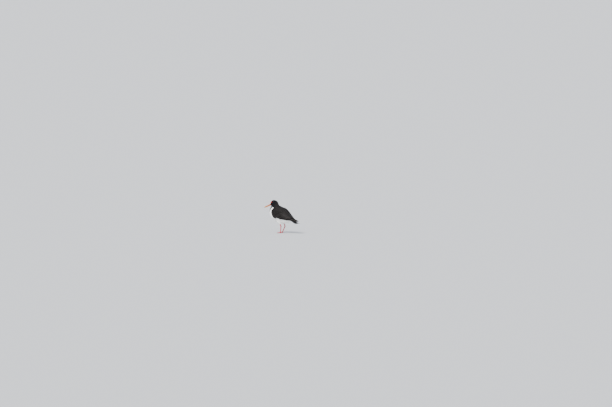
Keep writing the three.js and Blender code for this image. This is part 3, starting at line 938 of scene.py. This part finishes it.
def scattered(mesh, sizes, seed):
    """Places on the skin, spread so that neighbours keep a distance that suits their feathers."""
    chance = np.random.default_rng(seed)
    verts = coordinates(mesh)
    mesh.calc_loop_triangles()
    corners = np.zeros(len(mesh.loop_triangles) * 3, np.int32)
    mesh.loop_triangles.foreach_get("vertices", corners)
    a, b, c = (verts[corners.reshape(-1, 3)[:, i]] for i in range(3))
    square = np.cross(b - a, c - a)
    area = np.linalg.norm(square, axis=1) / 2
    space = feather_length((a + b + c) / 3, sizes) * SPACING / math.sqrt(sizes.density)
    wanted = area / space**2
    total = int(wanted.sum() * TRIES)
    picked = chance.choice(len(area), total, p=wanted / wanted.sum())
    u, v = chance.random(total), chance.random(total)
    flip = u + v > 1
    u[flip], v[flip] = 1 - u[flip], 1 - v[flip]
    places = a[picked] + u[:, None] * (b - a)[picked] + v[:, None] * (c - a)[picked]
    normals = unit(square[picked])
    spaces = space[picked]
    kept, grid = [], {}
    keys = np.floor(places / CELL).astype(int)
    for i in range(total):
        x, y, z = keys[i]
        reach = spaces[i] * NEAREST
        others = (o for dx, dy, dz in NEIGHBOURS for o in grid.get((x + dx, y + dy, z + dz), ()))
        gaps = (places[i] - places[other] for other in others)
        if all(gap @ gap >= reach * reach for gap in gaps):
            grid.setdefault((x, y, z), []).append(i)
            kept.append(i)
    return places[kept], normals[kept]


class OYSTERCATCHER_OT_skin(bpy.types.Operator):
    """Makes the one skin that all feathers grow from"""

    bl_idname = "oystercatcher.skin"
    bl_label = "Skin"

    def execute(self, context):
        sizes, _ = settings()
        bm = node_copy(*FLESH)
        add_shape(bm, wing_bed())
        loft_shape(bm, Loft(TAIL_CORE), 28, 14, 0)
        bm = remeshed(bm, "skin", VOXEL["skin"], 7)
        bm.normal_update()
        verts = np.array([v.co[:] for v in bm.verts])
        normals = np.array([v.normal[:] for v in bm.verts])
        along, _, _ = axis_frame(verts)
        depth = sizes.coat_depth * np.interp(along, [0, 0.3, 0.7, 0.85, 1], [1.1, 1.5, 1.1, 0.5, 0.3])
        for vert, place in zip(bm.verts, verts - normals * depth[:, None]):
            vert.co = place
        softened(bm)
        piece = finished(bm, "skin", made["skin_paint"])
        mesh = piece.data
        places = coordinates(mesh)
        even = np.ones(len(places))
        tinted(mesh, np.stack([whiteness(places), 0.35 * even, 0.6 * even], 1))
        loops = np.zeros(len(mesh.loops), np.int32)
        mesh.loops.foreach_get("vertex_index", loops)
        flat = unwrap(places)[loops]
        counts = np.zeros(len(mesh.polygons), np.int32)
        mesh.polygons.foreach_get("loop_total", counts)
        face = np.repeat(np.arange(len(counts)), counts)
        highest = np.full(len(counts), -1.0)
        np.maximum.at(highest, face, flat[:, 0])
        wrapped = (highest[face] > 0.7) & (flat[:, 0] < 0.3)
        flat[wrapped, 0] += 0.86
        mapped(mesh, "OFBake", flat)
        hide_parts("head", "neck", "torso", "left_thigh", "right_thigh")
        bm = bmesh.new()
        bm.from_mesh(mesh)
        made["tree"] = search_tree(bm)
        made["skin"] = piece
        return {"FINISHED"}


class OYSTERCATCHER_OT_coat(bpy.types.Operator):
    """Grows the small feathers of head, neck, breast, belly, back and thighs"""

    bl_idname = "oystercatcher.coat"
    bl_label = "Coat"

    def execute(self, context):
        sizes, _ = settings()
        chance = np.random.default_rng(21)
        places, normals = scattered(made["skin"].data, sizes, 7)
        wings = [search_tree(node_copy(which + "_wing")) for which in SIDES]
        eyes = [np.array(sum(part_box(which + "_eye"), Vector()) / 2) for which in SIDES]
        near_eye = np.min([np.linalg.norm(places - eye, axis=1) for eye in eyes], axis=0)
        bill = search_tree(node_copy("upper_bill", "lower_bill"))
        near_bill = np.array([bill.find_nearest(Vector(p))[3] for p in places])
        kept = np.array([not under_wing(p, n, wings) for p, n in zip(places, normals)])
        forward, up, _ = side_view(places)
        kept |= (normals[:, 2] > 0.5) & (forward > -70) & (up > 150)
        kept |= (normals[:, 2] > 0.3) & (forward < -84) & (forward > -118)
        kept &= (near_eye > EYE_CLEAR) & (near_bill > BILL_CLEAR)
        places, normals, near_eye = places[kept], normals[kept], near_eye[kept]
        count = len(places)
        along, _, lie = axis_frame(places)
        length = feather_length(places, sizes) * chance.uniform(0.88, 1.12, count)
        length *= np.interp(near_eye, [EYE_CLEAR, EYE_CLEAR + 0.005], [0.5, 1])
        lie = -lie - (-lie * normals).sum(1, keepdims=True) * normals
        lie = unit(unit(lie) + 0.07 * chance.normal(size=lie.shape))
        root = places - normals * ROOT_SUNK
        reach = lie * length[:, None]
        middle, n1 = snapped(places + reach * 0.5, length * chance.uniform(0.035, 0.06, count))
        tip, n2 = snapped(places + reach, length * chance.uniform(0.03, 0.075, count))
        spines = np.stack([root, middle, tip], 1)
        squares = np.stack([normals, n1, n2], 1)
        forward, up, _ = side_view(places)
        white = np.round(whiteness(places)) * ~((normals[:, 2] > 0.3) & (forward < -60))
        back = np.maximum(ease(up, 190, 204) * ease(forward, 50, 28), ease(forward, 20, 0))
        tint = np.stack([white, chance.random(count), back], 1)
        width = length * np.interp(along, [0, 0.8, 1], [0.6, 0.52, 0.55])
        head, left = along > 0.84, places[:, 0] >= 0
        groups = {
            "crown_feathers": head & (up > 240),
            "face_feathers": head & (up <= 240),
            "neck_feathers": ~head & (white < 0.5) & (along > 0.55),
            "mantle_feathers": ~head & (white < 0.5) & (along <= 0.55),
            "left_breast_feathers": (white >= 0.5) & left & (forward > 20),
            "right_breast_feathers": (white >= 0.5) & ~left & (forward > 20),
            "left_belly_feathers": (white >= 0.5) & left & (forward <= 20),
            "right_belly_feathers": (white >= 0.5) & ~left & (forward <= 20),
        }
        for i, (name, chosen) in enumerate(groups.items()):
            wide = width[chosen]
            mesh = plant(
                name,
                DOWNY if name in ("crown_feathers", "face_feathers") else CONTOUR,
                spines[chosen],
                squares[chosen],
                wide,
                tint[chosen],
                cup=wide * 0.09,
                roll=chance.normal(0, 0.03, len(wide)) * wide,
                ragged=0.07,
                seed=i + 3,
            )
            piece = mesh_object(name, mesh, made["plumage"])
        return {"FINISHED"}


cloak = Loft(CLOAK)

# Wing rows: name, count, width, height over the cloak at the root and tip of the first and the last
# feather, then the first and last root and the first and last tip.
WING_ROWS = [
    ("primary", 7, 14, (-3, -1), (-3.4, -5.3), (-56, 116), (-72, 111), (-132, 116), (-181, 101)),
    ("secondary", 8, 13, (-3, -0.6), (-3, -1.8), (22, 136), (-44, 122), (-38, 114), (-108, 107)),
    ("tertial", 6, 21, (-3, 0.9), (-3, 0.1), (-34, 176), (-4, 142), (-126, 123.6), (-84, 114)),
    ("greater", 14, 12, (-3, 0.5), (-3, 0.5), (47, 138), (-10, 167), (15, 119), (-64, 144)),
    ("median", 13, 11, (-2.6, 0.8), (-2.6, 0.8), (54, 148), (4, 182), (32, 126), (-30, 162)),
    ("lesser low", 13, 9.5, (-2.2, 0.9), (-2.2, 0.9), (58, 156), (14, 192), (42, 136), (-10, 174)),
    ("lesser middle", 13, 8.5, (-2, 1.0), (-2, 1.0), (60, 166), (24, 200), (50, 147), (6, 185)),
    ("lesser high", 12, 8, (-1.8, 1.1), (-1.8, 1.1), (61, 174), (32, 207), (55, 157), (18, 194)),
    ("edge", 12, 7, (-1.6, 1.1), (-1.6, 1.1), (60, 184), (38, 212), (58, 169), (28, 202)),
    ("scapular low", 10, 14, (-2.8, 1.3), (-2.8, 1.0), (34, 190), (-34, 180), (6, 173), (-92, 144)),
    ("scapular middle", 10, 14, (-2.6, 1.5), (-2.6, 1.2), (38, 201), (-28, 191), (12, 186), (-80, 159)),
    ("scapular high", 10, 13, (-2.4, 1.7), (-2.4, 1.4), (42, 210), (-14, 203), (18, 199), (-58, 178)),
]
FLIGHT_ROWS = ("primary", "secondary", "tertial")


def wing_feather(root, tip, heights, side, bend):
    """Spine places and normals of a feather on the cloak, from its root to its tip."""
    places, squares = [], []
    for share in (0.0, 0.5, 1.0):
        t, angle = root + (tip - root) * share
        angle += bend * math.sin(math.pi * share)
        normal = cloak.normal(t, angle)
        height = heights[0] + (heights[1] - heights[0]) * share**0.6
        place = cloak.point(t, angle) + normal * height
        places.append([place[0] * side, place[1] + SHIFT_Y, place[2]])
        squares.append([normal[0] * side, normal[1], normal[2]])
    return np.array(places) * MM, np.array(squares)


class OYSTERCATCHER_OT_wings(bpy.types.Operator):
    """Lays the feathers of both folded wings and of the shoulders in their rows"""

    bl_idname = "oystercatcher.wings"
    bl_label = "Wings"

    def execute(self, context):
        chance = np.random.default_rng(33)
        for which, side in SIDES.items():
            for part, form in (("flight", FLIGHT), ("covert", COVERT)):
                rows = [row for row in WING_ROWS if (row[0] in FLIGHT_ROWS) == (part == "flight")]
                feathers = [feather for row in rows for feather in wing_row(row, side, chance)]
                spines, squares, widths, rolls = (np.array(values) for values in zip(*feathers))
                count = len(widths)
                tints = np.stack([np.zeros(count), chance.random(count), np.full(count, 1.0)], 1)
                mesh = plant(
                    f"{which}_{part}_feathers",
                    form,
                    spines,
                    squares,
                    widths,
                    tints,
                    cup=widths**2 * 2.1,
                    roll=rolls,
                    ragged=0.012,
                    seed=5,
                )
                piece = mesh_object(mesh.name, mesh, made["plumage"])
                if part == "flight":
                    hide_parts(which + "_wing")
        return {"FINISHED"}


def wing_row(row, side, chance):
    """The feathers of one row: spine places, normals, width and roll of each."""
    name, count, width, first, last, *corners = row
    ends = [cloak.find(*corner) for corner in corners]
    if name == "tertial":
        ends[0], ends[2] = cloak.over(-34, 14), cloak.over(-127, 14)
    if name == "scapular high":
        ends[1], ends[3] = cloak.over(-40, 16), cloak.over(-98, 15)
    bend = -2.0 if name in FLIGHT_ROWS else 0.0
    feathers = []
    for i in range(count):
        share = i / (count - 1)
        root = ends[0] + (ends[1] - ends[0]) * share
        tip = ends[2] + (ends[3] - ends[2]) * share + chance.normal(0, (0.0022, 0.7))
        heights = [first[k] + (last[k] - first[k]) * share + chance.normal(0, 0.08) for k in (0, 1)]
        spine, square = wing_feather(root, tip, heights, side, bend)
        wide = width * chance.uniform(0.94, 1.06) * MM
        roll = side * (0.15 if name == "primary" else 0.55) * MM
        feathers.append((spine, square, wide, roll))
    return feathers


TAIL_ROOT = (-106, 113)
TAIL_DROP = 21.5  # degrees under the horizon
TAIL_LENGTH = 84
TAIL_SPREAD = 1.85  # degrees between one pair and the next
TAIL_STEP = 2.1  # how far apart the roots lie
TAIL_LAYER = 0.75  # how far each pair lies under the one before
TAIL_WIDTH = 0.0158  # metres


class OYSTERCATCHER_OT_tail(bpy.types.Operator):
    """Lays the fan of tail feathers, the middle pair on top"""

    bl_idname = "oystercatcher.tail"
    bl_label = "Tail"

    def execute(self, context):
        sizes, _ = settings()
        chance = np.random.default_rng(17)
        lie, rise = math.cos(math.radians(TAIL_DROP)), math.sin(math.radians(TAIL_DROP))
        spines, squares = [], []
        for pair in range(sizes.tail_pairs):
            for side in (1, -1):
                heading = math.radians(side * TAIL_SPREAD * (pair + 0.5))
                length = TAIL_LENGTH - pair * pair * 0.2
                depth = -TAIL_LAYER * (pair + (0 if side > 0 else 0.5))
                spine = []
                for share in (0.0, 0.5, 1.0):
                    along = share * length
                    x = side * TAIL_STEP * (pair + 0.5) + math.sin(heading) * along
                    back = math.cos(heading) * along
                    lift = depth - x * x / 260 + 0.5 * share * share
                    forward = TAIL_ROOT[0] - back * lie - lift * rise
                    spine.append(list(at(forward, TAIL_ROOT[1] - back * rise + lift * lie, x)))
                spines.append(spine)
                squares.append([[side * 0.02 * pair, rise, lie]] * 3)
        count = len(spines)
        mesh = plant(
            "tail_feathers",
            FLIGHT,
            np.array(spines),
            np.array(squares),
            np.full(count, TAIL_WIDTH),
            np.stack([np.zeros(count), chance.random(count), np.full(count, 0.5)], 1),
            cup=np.full(count, 0.0004),
            roll=np.zeros(count),
            ragged=0.01,
            seed=9,
        )
        piece = mesh_object("tail_feathers", mesh, made["plumage"])
        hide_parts("tail")
        return {"FINISHED"}


# Bare parts


class OYSTERCATCHER_OT_bill(bpy.types.Operator):
    """Smooths both halves of the bill and gives them their horn"""

    bl_idname = "oystercatcher.bill"
    bl_label = "Bill"

    def execute(self, context):
        root, drop = at(*BILL_ROOT), math.radians(BILL_DROP)
        inward = (at(-math.cos(drop), math.sin(drop)) - at(0, 0)).normalized()
        for name in ("upper_bill", "lower_bill"):
            bm = remeshed(node_copy(name), name, VOXEL["bill"], 4)
            bm.normal_update()
            for vert in bm.verts:
                share = float(ease((vert.co - root).dot(inward) / MM, -1.6, -0.2))
                vert.co += inward * share * BILL_SUNK * MM + vert.normal * BILL_SWELL * MM
            piece = finished(bm, name + "_horn", made["bill_horn"])
            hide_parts(name)
        return {"FINISHED"}


CORNEA = 0.03  # how far the eye's front bulges, as a share of its radius


def from_front(place, radius):
    """Angle of a place on the eyeball from the middle of its front."""
    return math.acos(max(-1, min(1, place.z / radius)))


class OYSTERCATCHER_OT_eyes(bpy.types.Operator):
    """Makes the eyes, with a front that bulges a little, and the bare rings round them"""

    bl_idname = "oystercatcher.eyes"
    bl_label = "Eyes"

    def execute(self, context):
        sizes, _ = settings()
        for which in SIDES:
            low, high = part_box(which + "_eye")
            centre = (low + high) / 2
            ring_low, ring_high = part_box(which + "_eye_ring")
            outward = ((ring_low + ring_high) / 2 - centre).normalized()
            turn = Vector((0, 0, 1)).rotation_difference(outward).to_matrix().to_4x4()
            bm = bmesh.new()
            bmesh.ops.create_uvsphere(bm, u_segments=48, v_segments=32, radius=sizes.eye_radius)
            layer = bm.loops.layers.uv.new("Polar")
            for face in bm.faces:
                middle = face.calc_center_median()
                other = math.atan2(middle.y, middle.x)
                for loop in face.loops:
                    co = loop.vert.co
                    polar = from_front(co, sizes.eye_radius)
                    around = math.atan2(co.y, co.x) if polar > 0.02 else other
                    if around - other > math.pi:
                        around -= 2 * math.pi
                    elif other - around > math.pi:
                        around += 2 * math.pi
                    loop[layer].uv = (around / (2 * math.pi), polar / 2)
            for vert in bm.verts:
                vert.co *= 1 + CORNEA * float(ease(from_front(vert.co, sizes.eye_radius), 0.7, 0.2))
            bm.transform(Matrix.Translation(centre - outward * EYE_SUNK) @ turn)
            piece = finished(bm, which + "_eyeball", made["eye_glass"])
            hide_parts(which + "_eye")
            name = which + "_eye_ring"
            bm = remeshed(node_copy(name), name, VOXEL["ring"], 5)
            for vert in bm.verts:
                off = vert.co - centre
                aside = off - outward * off.dot(outward)
                excess = max(0.0, aside.length - RING_MIDDLE)
                vert.co -= aside.normalized() * excess * 0.5 + outward * EYE_SUNK
            ring = finished(bm, which + "_eyelid", made["ring_skin"])
            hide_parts(name)
        return {"FINISHED"}


LEGS = {
    "left": {"shin": (-8, 70), "heel": (-17, 55), "foot": (-13, 4.2), "spread": 20.5, "turn": 4},
    "right": {"shin": (-20, 70), "heel": (-25, 53), "foot": (3, 4.2), "spread": 20, "turn": 2},
}
TOE_TURN = {"inner": (-34, 24), "middle": (0, 30), "outer": (34, 26)}  # degrees and length
LEG_RADII = [3.6, 3.9, 4.6, 3.8, 3.5, 4.1]
TOE_RADII = [3.0, 2.6, 2.4, 1.9]
CLAW_RADII = [1.55, 1.25, 0.28]
FOOT_RADIUS = 4.2


def on_floor(bm):
    """Flattens what would reach under the floor."""
    for vert in bm.verts:
        vert.co.z = max(vert.co.z, 0.0)


class OYSTERCATCHER_OT_legs(bpy.types.Operator):
    """Makes the legs and toes with their plates, and the claws"""

    bl_idname = "oystercatcher.legs"
    bl_label = "Legs"

    def execute(self, context):
        sizes, _ = settings()
        for which, side in SIDES.items():
            leg = LEGS[which]
            x = side * leg["spread"]
            shin, heel, foot = leg["shin"], leg["heel"], leg["foot"]
            top = (shin[0] + 2, shin[1] + 7)
            shank = [between(heel, foot, share) for share in (0.16, 0.85)]
            places = [top, between(top, heel, 0.8), heel, *shank, foot]
            path = [at(*place, x) for place in places]
            bm = bmesh.new()
            lofted(bm, path, LEG_RADII, 20, plates=sizes.scutes, relief=0.42)
            ball = bmesh.ops.create_uvsphere(bm, u_segments=20, v_segments=14, radius=FOOT_RADIUS * MM)
            bmesh.ops.translate(bm, verts=ball["verts"], vec=at(*foot, x))
            claws = bmesh.new()
            for toe, (turn, length) in TOE_TURN.items():
                heading = math.radians((turn + leg["turn"]) * side)

                def step(d, up):
                    return at(foot[0] + math.cos(heading) * d, up, x + math.sin(heading) * d)

                joints = [(1, 3.4), (length * 0.35, 2.7), (length * 0.7, 2.35), (length + 1, 2.1)]
                line = [step(*joint) for joint in joints]
                lofted(bm, line, TOE_RADII, 16, plates=12, relief=0.4, front=(0, 1))
                tip = [step(length - 0.6, 2.4), step(length + 2.6, 2.3), step(length + 6, 0.75)]
                lofted(claws, tip, CLAW_RADII, 14, front=(0, 1))
            bm = remeshed(bm, which, VOXEL["leg"], 2)
            on_floor(bm)
            piece = finished(bm, which + "_leg_skin", made["leg_skin"])
            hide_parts(which + "_leg", *(f"{which}_{toe}_toe" for toe in TOES))
            on_floor(claws)
            piece = finished(claws, which + "_claws", made["claw_horn"])
            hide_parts(*(f"{which}_{toe}_claw" for toe in TOES))
        return {"FINISHED"}


# Finishes, stage and panel


# Painted shade in the creases round the scales of the legs and of the eye rings.
LEG_CREASE_SHADE = (0.20, 0.012, 0.014)
RING_CREASE_SHADE = (0.24, 0.006, 0.002)


class OYSTERCATCHER_OT_finishes(bpy.types.Operator):
    """Makes the materials of plumage, horn, skin and eyes"""

    bl_idname = "oystercatcher.finishes"
    bl_label = "Finishes"

    def execute(self, context):
        _, looks = settings()
        grain_group()
        scales_group()
        plume_group()
        made["plumage"] = plumage("plumage", looks, True)
        made["skin_paint"] = plumage("skin_under_coat", looks, False)
        made["bill_horn"] = bill_horn(looks)
        made["claw_horn"] = claw_horn(looks)
        made["leg_skin"] = bare_skin("leg_skin", looks.leg_deep, looks.leg, 620.0, LEG_CREASE_SHADE)
        made["ring_skin"] = bare_skin("ring_skin", looks.ring, looks.ring, 1500.0, RING_CREASE_SHADE)
        made["eye_glass"] = eye_glass(looks)
        return {"FINISHED"}


VIEW_TURN, VIEW_RISE = 130.0, 3.0  # degrees round the bird and above the floor
PIXEL = 0.008  # metres that a pixel of the frame shows at the bird
AIM = (0.200, 0.236)  # metres that the frame's middle lies right of and above the feet
LENS, SENSOR = 300.0, 36.0  # millimetres
FRAME_WIDTH = 612  # pixels
FLOOR_GREY = (0.46, 0.47, 0.48, 1.0)

# Soft lamps: name, turn round the bird and rise in degrees, strength, spread in degrees, and tint.
LAMPS = (
    ("key", 95, 48, 5.0, 16, (1.0, 0.97, 0.93)),
    ("low", 118, 12, 2.2, 60, (1.0, 1.0, 1.0)),
    ("fill", 185, 35, 1.3, 40, (0.9, 0.95, 1.0)),
)


def direction(turn, rise):
    """Towards a place round the bird and above the floor, in degrees."""
    a, e = math.radians(turn), math.radians(rise)
    return Vector((math.sin(a) * math.cos(e), -math.cos(a) * math.cos(e), math.sin(e)))


class OYSTERCATCHER_OT_stage(bpy.types.Operator):
    """Sets the floor, the soft lights and the camera"""

    bl_idname = "oystercatcher.stage"
    bl_label = "Stage"

    def execute(self, context):
        scene = bpy.context.scene
        bm = bmesh.new()
        bmesh.ops.create_grid(bm, x_segments=8, y_segments=8, size=160)
        floor = bpy.data.objects.new("floor", mesh_of(bm, "floor"))
        scene.collection.objects.link(floor)
        floor.data.materials.append(shader("floor_paint", Roughness=0.9, Base_Color=FLOOR_GREY)[0])
        world = bpy.data.worlds.new("studio")
        world.use_nodes = True
        world.node_tree.nodes["Background"].inputs[0].default_value = (0.86, 0.90, 1.0, 1)
        world.node_tree.nodes["Background"].inputs[1].default_value = 1.15
        scene.world = world
        for name, turn, rise, strength, spread, tint in LAMPS:
            lamp = bpy.data.lights.new(name, "SUN")
            lamp.energy, lamp.angle, lamp.color = strength, math.radians(spread), tint
            sun = bpy.data.objects.new(name, lamp)
            sun.rotation_euler = direction(turn, rise).to_track_quat("Z", "Y").to_euler()
            scene.collection.objects.link(sun)
        back = direction(VIEW_TURN, VIEW_RISE)
        right = Vector((0, 0, 1)).cross(back).normalized()
        aim = at(0, 0) + right * AIM[0] + back.cross(right) * AIM[1]
        camera = bpy.data.objects.new("camera", bpy.data.cameras.new("camera"))
        camera.data.lens, camera.data.sensor_width = LENS, SENSOR
        camera.data.clip_start, camera.data.clip_end = 0.05, 500
        camera.location = aim + back * (FRAME_WIDTH * PIXEL * LENS / SENSOR)
        camera.rotation_euler = back.to_track_quat("Z", "Y").to_euler()
        scene.collection.objects.link(camera)
        scene.camera = camera
        return {"FINISHED"}


STEPS = ("finishes", "skin", "coat", "wings", "tail", "bill", "eyes", "legs", "stage")


class OYSTERCATCHER_PT_panel(bpy.types.Panel):
    """Lists the settings and the steps"""

    bl_label = "Oystercatcher"
    bl_idname = "OYSTERCATCHER_PT_panel"
    bl_space_type = "VIEW_3D"
    bl_region_type = "UI"
    bl_category = "Oystercatcher"

    def draw(self, context):
        for group in settings():
            for key in group.bl_rna.properties.keys():
                if key not in ("rna_type", "name"):
                    self.layout.prop(group, key)
        for step in STEPS:
            self.layout.operator("oystercatcher." + step)


CLASSES = (
    ModelSizes,
    ModelColours,
    OYSTERCATCHER_OT_finishes,
    OYSTERCATCHER_OT_skin,
    OYSTERCATCHER_OT_coat,
    OYSTERCATCHER_OT_wings,
    OYSTERCATCHER_OT_tail,
    OYSTERCATCHER_OT_bill,
    OYSTERCATCHER_OT_eyes,
    OYSTERCATCHER_OT_legs,
    OYSTERCATCHER_OT_stage,
    OYSTERCATCHER_PT_panel,
)


def register():
    for cls in CLASSES:
        bpy.utils.register_class(cls)
    bpy.types.Scene.oystercatcher_sizes = PointerProperty(type=ModelSizes)
    bpy.types.Scene.oystercatcher_colours = PointerProperty(type=ModelColours)


def unregister():
    del bpy.types.Scene.oystercatcher_colours
    del bpy.types.Scene.oystercatcher_sizes
    for cls in reversed(CLASSES):
        bpy.utils.unregister_class(cls)


def main():
    register()
    for step in STEPS:
        getattr(bpy.ops.oystercatcher, step)()


if __name__ == "__main__":
    main()
